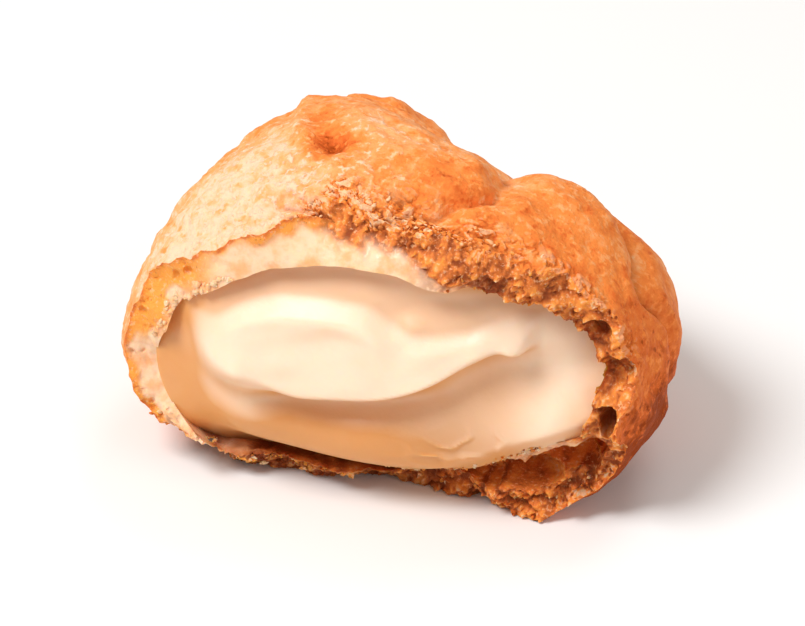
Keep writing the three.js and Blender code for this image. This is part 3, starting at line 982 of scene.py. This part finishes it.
def mark_shell(shell):
    """Keeps what the finishes of the crust and of the crumb read."""
    p = vertex_places(shell)
    x, y, z = p.T
    d = unit(p - CENTRE)
    below = outer_radius(d) - np.linalg.norm(p - CENTRE, axis=1)
    behind = y - tear_y(x, z)
    t, deep = crack_distance(d)
    groove = bell(t / 0.7) * ramp(0.2, 1.2, deep)
    depth = np.minimum(np.clip(below / WALL, 0.0, 1.2), z / WALL_BASE)
    thick = depth + 0.25 * waves(p, 2.6)
    broken = crumbled(p)
    gaps = ramp(0.08, 0.5, below) * ramp(0.2, 0.8, broken)
    curl = curled(p, below, behind)
    marks = {
        "bake": baked_and_shaded(p, d, behind, groove),
        "broken": broken,
        "curl": curl,
        # painted shade in the gaps among the crumbs and at the bottoms of the cracks
        "recess": np.clip(gaps + 0.6 * bell(t / 0.25) * groove, 0.0, 1.0),
        "wrinkle": wrinkled(d),
        "depth": depth,
        "wet": wet_wall(p, thick, behind),
        "brown": baked_wall(x, z),
        "dark": painted_wall_shade(p, thick, behind, curl),
    }
    for name, values in marks.items():
        mark(shell, name, values)


# ---- Loose flakes and crumbs -----------------------------------------------

BAKED_ALL_OVER = {"depth": 0.5, "brown": 1.0, "dark": 0.0, "wet": 0.0}


class Flakes:
    """Small curled flakes, gathered in one piece. Each keeps the numbers that its finish reads."""

    def __init__(self, name, marks):
        self.name = name
        self.count = 0
        self.bm = bmesh.new()
        self.layers = {mark: self.bm.verts.layers.float.new(mark) for mark in marks}
        self.rng = np.random.RandomState(SEED)

    def size(self, ranges):
        """A half-length, half-width and half-thickness from the ranges of each."""
        return [self.rng.uniform(low, high) for low, high in ranges]

    def add(self, place, out, size, tilt, swing=180.0, **marks):
        """One flake at a place on the crust, tilted and swung from the level by up to some degrees."""
        self.count += 1
        long, wide, thick = size
        spin = math.radians(self.rng.uniform(-swing, swing))
        lean = math.radians(self.rng.uniform(0.3, 1.0) * tilt)
        curl = self.rng.uniform(0.1, 0.7) * long
        turn = Vector(out).to_track_quat("Z", "Y") @ Euler((0.0, -lean, spin), "XYZ").to_quaternion()
        made = bmesh.ops.create_icosphere(self.bm, subdivisions=2, radius=1.0)["verts"]
        shift = self.rng.uniform(0.0, 50.0)
        for v in made:
            x, y, z = v.co
            ragged = 1.0 + 0.55 * noise.noise(v.co * 1.6 + Vector((shift, 0.0, 0.0)))
            bend = curl * x * x + 0.4 * thick * noise.noise(v.co * 2.5 + Vector((0.0, shift, 0.0)))
            flat = Vector((x * long * ragged, y * wide * ragged * (1.0 - 0.5 * x), z * thick + bend))
            v.co = Vector(place) + turn @ flat
            for name, value in marks.items():
                v[self.layers[name]] = value

    def finish(self, material):
        piece = object_of(self.bm, self.name, [material])
        piece.data.shade_smooth()
        return piece


def rim_place(angle, inward):
    """A place on the torn face at an angle from +X round its middle: 0 at the skin, 1 at the hollow."""
    out = np.linspace(8.0, 36.0, 120)
    x = out * math.cos(angle)
    z = WAIST_HEIGHT + out * math.sin(angle)
    y = tear_y(x, z)
    p = np.stack((x, y, z), axis=1)
    d = unit(p - CENTRE)
    left = body_radius(d) - WALL * inward - np.linalg.norm(p - CENTRE, axis=1)
    place = p[np.argmax(left < 0.0)]
    place[2] = max(place[2], WALL_BASE * inward)
    return place


def crust_flakes(crust):
    """Curled flakes where the crust is broken up behind the torn lip."""
    flakes = Flakes("crust_flakes", ("bake", "broken", "curl", "recess", "wrinkle"))
    rng = flakes.rng
    while flakes.count < CRUST_FLAKES:
        d = direction(rng.uniform(-140.0, 0.0), rng.uniform(18.0, 74.0))[None, :]
        place = d * outer_radius(d)[:, None] + CENTRE
        x, y, z = place.T
        if y < tear_y(x, z) + 0.3 or rng.uniform(0.3, 1.0) > crumbled(place)[0]:
            continue
        close = float(ramp(4.0, 1.5, y - tear_y(x, z))[0])
        size = flakes.size(CRUST_FLAKE_SIZE)
        lifted = place[0] + d[0] * rng.uniform(-0.3, 0.05)
        flakes.add(lifted, d[0], size, 50.0, swing=mix(180.0, 60.0, close), bake=0.3, broken=0.9,
                   curl=rng.uniform(0.3, 0.85))
    return flakes.finish(crust)


def in_a_bubble(place):
    return any(np.linalg.norm((place - centre) / np.array(radii)) < 1.3 for centre, radii in BUBBLES)


def rim_places(rng, start, end, count, nearest):
    """Places on the torn crumb between two angles, from a share of the wall's depth to the hollow."""
    angles = np.radians(rng.uniform(start, end, count))
    places = np.array([rim_place(angle, rng.uniform(nearest, 1.0)) for angle in angles])
    places[:, 1] = torn_face_y(places[:, 0], places[:, 2])
    return places


def add_wall_crumbs(flakes):
    rng = flakes.rng
    for place in rim_places(rng, -165.0, 62.0, WALL_CRUMBS, 0.0):
        size = flakes.size(WALL_CRUMB_SIZE)
        if place[2] > 0.8 and not in_a_bubble(place):
            flakes.add(place, (0.0, -1.0, 0.15), size, 70.0, curl=rng.uniform(0.2, 1.0), **BAKED_ALL_OVER)


def add_base_flakes(flakes):
    rng = flakes.rng
    for place in rim_places(rng, -152.0, -97.0, BASE_FLAKES, 0.15):
        size = flakes.size(BASE_FLAKE_SIZE)
        if place[2] > 0.9:
            flakes.add(place, (0.0, -1.0, 0.5), size, 50.0, curl=rng.uniform(0.4, 1.1), **BAKED_ALL_OVER)


def add_edge_crumbs(flakes):
    """Crumbs that stuck to the lower edge of the cream, at the middle and right."""
    rng = flakes.rng
    across = rng.uniform(1.0, 19.0, EDGE_CRUMBS)
    up = floor_height(across, TORN_BASE_Y) + rng.uniform(-0.1, 0.7, EDGE_CRUMBS)
    for place in np.stack((across, cream_y(across, up), up), axis=1):
        size = flakes.size(EDGE_CRUMB_SIZE)
        flakes.add(place, (0.0, -1.0, 0.2), size, 60.0, curl=rng.uniform(0.3, 1.1), **BAKED_ALL_OVER)


def add_froth(flakes):
    """Small pale bubbles along the inner rim at the left."""
    rng = flakes.rng
    for _ in range(FROTH):
        place = rim_place(math.radians(rng.uniform(137.0, 174.0)), rng.uniform(0.8, 1.02))
        radius = rng.uniform(0.12, 0.42)
        size = radius, radius * rng.uniform(0.7, 1.0), radius * 0.8
        flakes.add(place, (0.0, -1.0, 0.3), size, 10.0, depth=1.0, brown=0.0, dark=0.0, curl=0.6,
                   wet=rng.uniform(0.5, 1.0))


def crumb_flakes(crumb):
    """Crumbs on the torn wall, the torn base and the cream's edge, and froth on the inner rim."""
    flakes = Flakes("crumb_flakes", ("depth", "wet", "dark", "brown", "curl"))
    add_wall_crumbs(flakes)
    add_base_flakes(flakes)
    add_edge_crumbs(flakes)
    add_froth(flakes)
    return flakes.finish(crumb)


# ---- The cream -------------------------------------------------------------


def wrinkled_cream_y(x, z):
    """y of the cream's face with the streaks along its tongue, and the wrinkles low at the right."""
    torn = bell((x - 10.0) / 5.5) * bell((z - 8.6 - 0.25 * (x - 10.0)) / 2.2)
    wrinkles = WRINKLE_RELIEF * torn * ramp(0.22, 0.0, np.abs(grain(on_plane(x * 0.5, 3.0, z), 1.9)))
    lower = line_height(TONGUE_LOWER, x)
    share = (z - lower) / (line_height(TONGUE_UPPER, x) - lower)
    drawn = on_plane(x * 0.3, 9.0, share * 6.0)
    streaks = ramp(0.0, 0.3, share) * ramp(1.1, 0.8, share) * ramp(17.0, 12.0, x) * ramp(-17.0, -12.0, x)
    return cream_y(x, z) - wrinkles - STREAK_RELIEF * streaks * grain(drawn, 1.5)


def sag(filling):
    """The tongue hangs over the hollow under it, the more the further it stands out."""
    p = vertex_places(filling)
    x, y, z = p.T
    on_face = ramp(1.0, 0.2, y - cream_y(x, z))
    hang = TONGUE_SAG * np.maximum(tongue_rise(x, z), 0.0) * on_face
    p[:, 2] -= hang
    filling.data.vertices.foreach_set("co", (p * MM).astype(np.float32).ravel())


def cream_shade_of(filling):
    """Painted shade on the cream: near the wall, where it faces down, round the tongue, on the belly and at
    the left.
    """
    p = vertex_places(filling)
    x, _, z = p.T
    d = unit(p - CENTRE)
    to_wall = hollow_radius(d) - np.linalg.norm(p - CENTRE, axis=1)
    upright = np.array([n.vector.z for n in filling.data.vertex_normals])
    drop = z - line_height(TONGUE_LOWER, x)
    under = 0.6 * ramp(0.8, -0.8, drop) * ramp(-16.0, -3.0, drop + 0.6 * np.abs(x)) * ramp(22.0, 12.0, x)
    under = under * ramp(-16.0, -8.0, x)
    above = 0.45 * ramp(-0.5, 0.7, z - line_height(TONGUE_UPPER, x))
    belly = 0.95 * ramp(12.5, 6.5, z) * ramp(13.0, 2.0, x) * (1.0 - 0.5 * bell((x + 14.0) / 4.0))
    left = 0.95 * ramp(-16.5, -21.5, x) + 0.4 * ramp(1.0, -2.5, drop) * ramp(-11.0, -17.0, x)
    warm = 0.5 * ramp(3.5, 0.0, to_wall) + 0.5 * ramp(0.2, -0.6, upright) + under + above + belly + left
    return np.clip(warm, 0.0, 1.0)


def cream_filling(cream):
    filling = ball("cream_filling_custard", CREAM_SUBDIVISIONS, lambda d: hollow_radius(d) + CREAM_REACH,
                   lambda x, y: floor_height(x, y) - CREAM_REACH, [cream])
    cut(filling, in_front_of("cream_front", wrinkled_cream_y, CREAM_CELL, [cream]))
    keep_largest(filling)
    sag(filling)
    # Keeps the cream's painted shade.
    mark(filling, "warm", cream_shade_of(filling))
    smooth(filling, 60)
    return filling


# ---- The setting -----------------------------------------------------------

CAMERA_AZIMUTH = 18.0
CAMERA_ELEVATION = 30.0
CAMERA_DISTANCE = 0.7
SENSOR = 0.036
SEEN_WIDTH = 0.0864  # at the puff, across the picture
CAMERA_PIVOT = Vector((-0.0088, 0.0056, 0.0269))  # the camera stands at its distance from here
AIMED_AT = Vector((-0.0002, 0.0014, 0.0154))

PAPER = (0.86, 0.86, 0.86, 1.0)
FLOOR_SIZE = 2000.0
FLOOR_DROP = 0.15
SKY = (1.0, 0.93, 0.85, 1.0)
SKY_STRENGTH = 0.42

# Each light's azimuth and elevation in degrees, its distance and size in metres, and its power.
LIGHTS = {
    "key": (-42, 55, 0.6, 0.3, 3.3),
    "top_back": (160, 60, 0.7, 0.3, 0.8),
    "fill": (75, 25, 0.9, 0.5, 1.35),
}


def towards(azimuth, elevation):
    """The direction from the puff to something at an azimuth from its torn side, and an elevation."""
    a = math.radians(azimuth)
    e = math.radians(elevation)
    return Vector((math.sin(a) * math.cos(e), -math.cos(a) * math.cos(e), math.sin(e)))


def add_camera():
    data = bpy.data.cameras.new("camera")
    camera = bpy.data.objects.new("camera", data)
    bpy.context.scene.collection.objects.link(camera)
    back = towards(CAMERA_AZIMUTH, CAMERA_ELEVATION)
    camera.location = CAMERA_PIVOT + back * CAMERA_DISTANCE
    camera.rotation_euler = (AIMED_AT - camera.location).to_track_quat("-Z", "Y").to_euler()
    data.sensor_width = SENSOR / MM
    data.lens = SENSOR / MM * CAMERA_DISTANCE / SEEN_WIDTH
    bpy.context.scene.camera = camera


def add_light(name, azimuth, elevation, distance, size, power):
    data = bpy.data.lights.new(name, "AREA")
    data.shape = "DISK"
    data.size = size
    data.energy = power
    light = bpy.data.objects.new(name, data)
    bpy.context.scene.collection.objects.link(light)
    way = towards(azimuth, elevation)
    light.location = AIMED_AT + way * distance
    light.rotation_euler = (-way).to_track_quat("-Z", "Y").to_euler()


def set_up_studio():
    bm = bmesh.new()
    bmesh.ops.create_grid(bm, x_segments=1, y_segments=1, size=FLOOR_SIZE)
    bmesh.ops.translate(bm, vec=(0.0, 0.0, -FLOOR_DROP), verts=bm.verts)
    paper = Finish("white_paper").set(Base_Color=PAPER, Roughness=0.8)
    object_of(bm, "floor", [paper])
    world = bpy.data.worlds.new("studio")
    world.use_nodes = True
    background = world.node_tree.nodes["Background"]
    background.inputs["Color"].default_value = SKY
    background.inputs["Strength"].default_value = SKY_STRENGTH
    bpy.context.scene.world = world
    bpy.context.scene.view_settings.view_transform = "Standard"
    for name, light in LIGHTS.items():
        add_light(name, *light)


# ---- Putting it together ---------------------------------------------------

crust = crust_finish()
crumb = crumb_finish()
cream = cream_finish()

shell = choux_shell(crust, crumb)
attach(shell, "root")
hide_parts("choux_shell")

for flakes in (crust_flakes(crust), crumb_flakes(crumb)):
    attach(flakes, "root")

filling = cream_filling(cream)
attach(filling, "root")
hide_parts("cream_filling")

set_up_studio()
add_camera()
